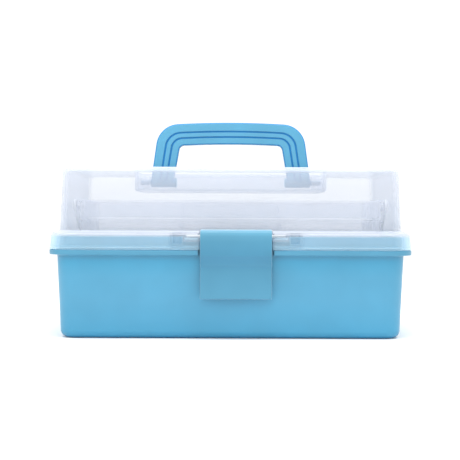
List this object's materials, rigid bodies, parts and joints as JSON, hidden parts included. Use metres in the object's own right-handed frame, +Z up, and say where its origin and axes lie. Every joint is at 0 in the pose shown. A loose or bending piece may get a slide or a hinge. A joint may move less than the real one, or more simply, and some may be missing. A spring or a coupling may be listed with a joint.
{
  "type": "art supply box",
  "caption": "Hinged plastic art supply box with a clear lid, folding handle, front latch and cantilever trays that rise as the lid opens.",
  "frame": {"origin": "centre of the flat underside, under the middle of the rim flange", "axes": "+X to the right along the long side, +Y to the rear hinge, +Z up"},
  "size_m": [0.33, 0.2072, 0.2023],
  "materials": {
    "base": "satin sky-blue polypropylene",
    "clear_lid": "milky clear polypropylene, smooth",
    "grip": "satin sky-blue polypropylene",
    "latch": "satin sky-blue polypropylene",
    "clear_tray": "milky clear polypropylene, smooth",
    "links": "milky pale polypropylene",
    "rivets": "milky pale nylon",
    "steel": "bright wire"
  },
  "bodies": {
    "base": {"base_bin": "base", "hinge_pin_left": "steel", "hinge_pin_right": "steel", "base_rivets": "rivets"},
    "lid": {"lid_shell": "clear_lid", "latch_pin": "steel", "lid_rivets": "rivets"},
    "handle": {"handle": "grip"},
    "latch": {"latch": "latch"},
    "lower_tray": {"lower_tray": "clear_tray", "lower_tray_rivets": "rivets"},
    "upper_tray": {"upper_tray": "clear_tray", "upper_tray_front_rivets": "rivets", "upper_tray_rear_rivets": "rivets"},
    "front_link_left": {"front_link_left": "links"},
    "front_link_right": {"front_link_right": "links"},
    "rear_link_left": {"rear_link_left": "links"},
    "rear_link_right": {"rear_link_right": "links"},
    "lid_link_left": {"lid_link_left": "links"},
    "lid_link_right": {"lid_link_right": "links"}
  },
  "joints": [
    {"name": "lid_hinge", "type": "hinge", "parent": "base", "child": "lid", "pos_m": [0, 0.1005, 0.086], "axis": [-1, 0, 0], "range_deg": [0, 100]},
    {"name": "latch_hinge", "type": "hinge", "parent": "lid", "child": "latch", "pos_m": [0.005, -0.0965, 0.0925], "axis": [-1, 0, 0], "range_deg": [0, 110]},
    {"name": "handle_hinge", "type": "hinge", "parent": "lid", "child": "handle", "pos_m": [0, 0, 0.1435], "axis": [-1, 0, 0], "range_deg": [0, 88]},
    {"name": "front_link_left_pivot", "type": "hinge", "parent": "base", "child": "front_link_left", "pos_m": [-0.14245, -0.01, 0.084], "axis": [-1, 0, 0], "range_deg": [0, 100]},
    {"name": "rear_link_left_pivot", "type": "hinge", "parent": "base", "child": "rear_link_left", "pos_m": [-0.14245, 0.06, 0.084], "axis": [-1, 0, 0], "range_deg": [0, 100]},
    {"name": "lid_link_left_pivot", "type": "hinge", "parent": "lid", "child": "lid_link_left", "pos_m": [-0.14525, 0.04241, 0.1223], "axis": [-1, 0, 0], "range_deg": [-100, 0]},
    {"name": "front_link_right_pivot", "type": "hinge", "parent": "base", "child": "front_link_right", "pos_m": [0.14245, -0.01, 0.084], "axis": [-1, 0, 0], "range_deg": [0, 100]},
    {"name": "rear_link_right_pivot", "type": "hinge", "parent": "base", "child": "rear_link_right", "pos_m": [0.14245, 0.06, 0.084], "axis": [-1, 0, 0], "range_deg": [0, 100]},
    {"name": "lid_link_right_pivot", "type": "hinge", "parent": "lid", "child": "lid_link_right", "pos_m": [0.14525, 0.04241, 0.1223], "axis": [-1, 0, 0], "range_deg": [-100, 0]},
    {"name": "lower_tray_pivot", "type": "hinge", "parent": "rear_link_left", "child": "lower_tray", "pos_m": [-0.14245, 0.03095, 0.10215], "axis": [-1, 0, 0], "range_deg": [-100, 0]},
    {"name": "upper_tray_pivot", "type": "hinge", "parent": "rear_link_left", "child": "upper_tray", "pos_m": [-0.14245, 0.00191, 0.1203], "axis": [-1, 0, 0], "range_deg": [-100, 0]}
  ],
  "couplings": [
    {"joint": "front_link_left_pivot", "follows": "lid_hinge", "ratio": 1},
    {"joint": "rear_link_left_pivot", "follows": "lid_hinge", "ratio": 1},
    {"joint": "lid_link_left_pivot", "follows": "lid_hinge", "ratio": -1},
    {"joint": "front_link_right_pivot", "follows": "lid_hinge", "ratio": 1},
    {"joint": "rear_link_right_pivot", "follows": "lid_hinge", "ratio": 1},
    {"joint": "lid_link_right_pivot", "follows": "lid_hinge", "ratio": -1},
    {"joint": "lower_tray_pivot", "follows": "lid_hinge", "ratio": -1},
    {"joint": "upper_tray_pivot", "follows": "lid_hinge", "ratio": -1}
  ]
}
